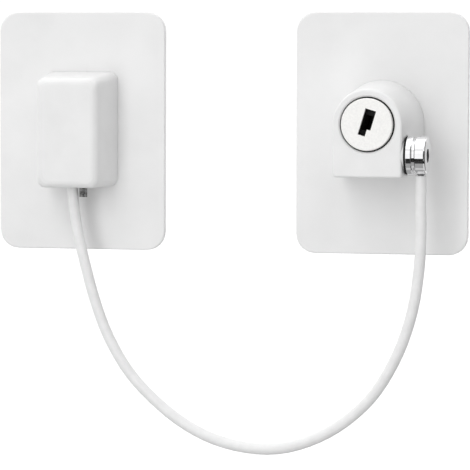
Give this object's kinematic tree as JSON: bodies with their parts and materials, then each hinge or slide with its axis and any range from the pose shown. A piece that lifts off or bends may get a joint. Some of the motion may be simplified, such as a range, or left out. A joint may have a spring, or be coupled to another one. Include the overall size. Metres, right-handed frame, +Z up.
{
  "type": "fridge lock",
  "caption": "Cable lock for a fridge door: a keyed lock and a cable anchor on adhesive plates, joined by a sheathed cable with a swivelling plug.",
  "frame": {"origin": "centre of the back of the lock's adhesive pad", "axes": "+X to the right along the wall, from the anchor to the lock; +Y into the wall; +Z up"},
  "size_m": [0.1768, 0.0334, 0.1604],
  "materials": {
    "plate": "smooth semi-gloss white",
    "pad": "white foam tape, matt",
    "housing": "semi-gloss white paint on a zinc casting",
    "casting": "dull grey die casting",
    "face": "satin nickel",
    "dark_metal": "blackened zinc",
    "washer": "black rubber",
    "fastener": "zinc plated",
    "plug": "bright",
    "sheath": "smooth white PVC",
    "rope": "bright stranded wire",
    "sleeve": "pressed, dull"
  },
  "bodies": {
    "lock": {"lock_base_plate": "plate", "lock_adhesive_pad": "pad", "lock_housing": "housing", "lock_housing_screw_1": "fastener", "lock_housing_screw_2": "fastener", "cylinder_shell": "dark_metal", "cylinder_retaining_ring": "fastener"},
    "rotor": {"cylinder_rotor": "dark_metal", "cylinder_face_disc": "face", "cam_drum": "casting", "cam_screw": "fastener", "wafer_spring_1": "fastener", "wafer_spring_2": "fastener", "wafer_spring_3": "fastener", "wafer_spring_4": "fastener"},
    "wafer_1": {"wafer_1": "dark_metal"},
    "wafer_2": {"wafer_2": "dark_metal"},
    "wafer_3": {"wafer_3": "dark_metal"},
    "wafer_4": {"wafer_4": "dark_metal"},
    "latch": {"latch_bolt": "fastener"},
    "plug": {"plug_pin": "plug", "plug_washer": "washer", "pivot_screw": "dark_metal"},
    "free_end": {"swivel_head": "plug", "cable": "sheath", "rope_end_in_swivel": "rope", "rope_loop": "rope", "crimp_sleeve": "sleeve", "anchor_post": "fastener", "anchor_post_screw": "fastener", "anchor_housing": "housing", "anchor_housing_screw_1": "fastener", "anchor_housing_screw_2": "fastener", "anchor_base_plate": "plate", "anchor_adhesive_pad": "pad"}
  },
  "joints": [
    {"name": "rotor_turn", "type": "hinge", "parent": "lock", "child": "rotor", "pos_m": [0, -0.0324, 0.0038], "axis": [0, 1, 0], "range_deg": [0, 90]},
    {"name": "bolt_slide", "type": "slide", "parent": "lock", "child": "latch", "axis": [0, -1, 0], "range_m": [0, 0.0025]},
    {"name": "plug_pull", "type": "slide", "parent": "lock", "child": "plug", "axis": [1, 0, 0], "range_m": [0, 0.0088]},
    {"name": "cable_swivel", "type": "hinge", "parent": "plug", "child": "free_end", "pos_m": [0.0185, -0.0265, -0.0072], "axis": [-1, 0, 0], "range_deg": [0, 180]},
    {"name": "wafer_1_slide", "type": "slide", "parent": "rotor", "child": "wafer_1", "axis": [0.2924, 0, 0.9563], "range_m": [0, 0.0006], "stiffness_N_per_m": 50, "springref_m": 0.002, "deforming": ["wafer_spring_1"]},
    {"name": "wafer_2_slide", "type": "slide", "parent": "rotor", "child": "wafer_2", "axis": [-0.2924, 0, -0.9563], "range_m": [0, 0.0006], "stiffness_N_per_m": 50, "springref_m": 0.002, "deforming": ["wafer_spring_2"]},
    {"name": "wafer_3_slide", "type": "slide", "parent": "rotor", "child": "wafer_3", "axis": [0.2924, 0, 0.9563], "range_m": [0, 0.0006], "stiffness_N_per_m": 50, "springref_m": 0.002, "deforming": ["wafer_spring_3"]},
    {"name": "wafer_4_slide", "type": "slide", "parent": "rotor", "child": "wafer_4", "axis": [-0.2924, 0, -0.9563], "range_m": [0, 0.0006], "stiffness_N_per_m": 50, "springref_m": 0.002, "deforming": ["wafer_spring_4"]}
  ],
  "couplings": [
    {"joint": "bolt_slide", "follows": "rotor_turn", "m_per_rad": 0.0015915}
  ]
}
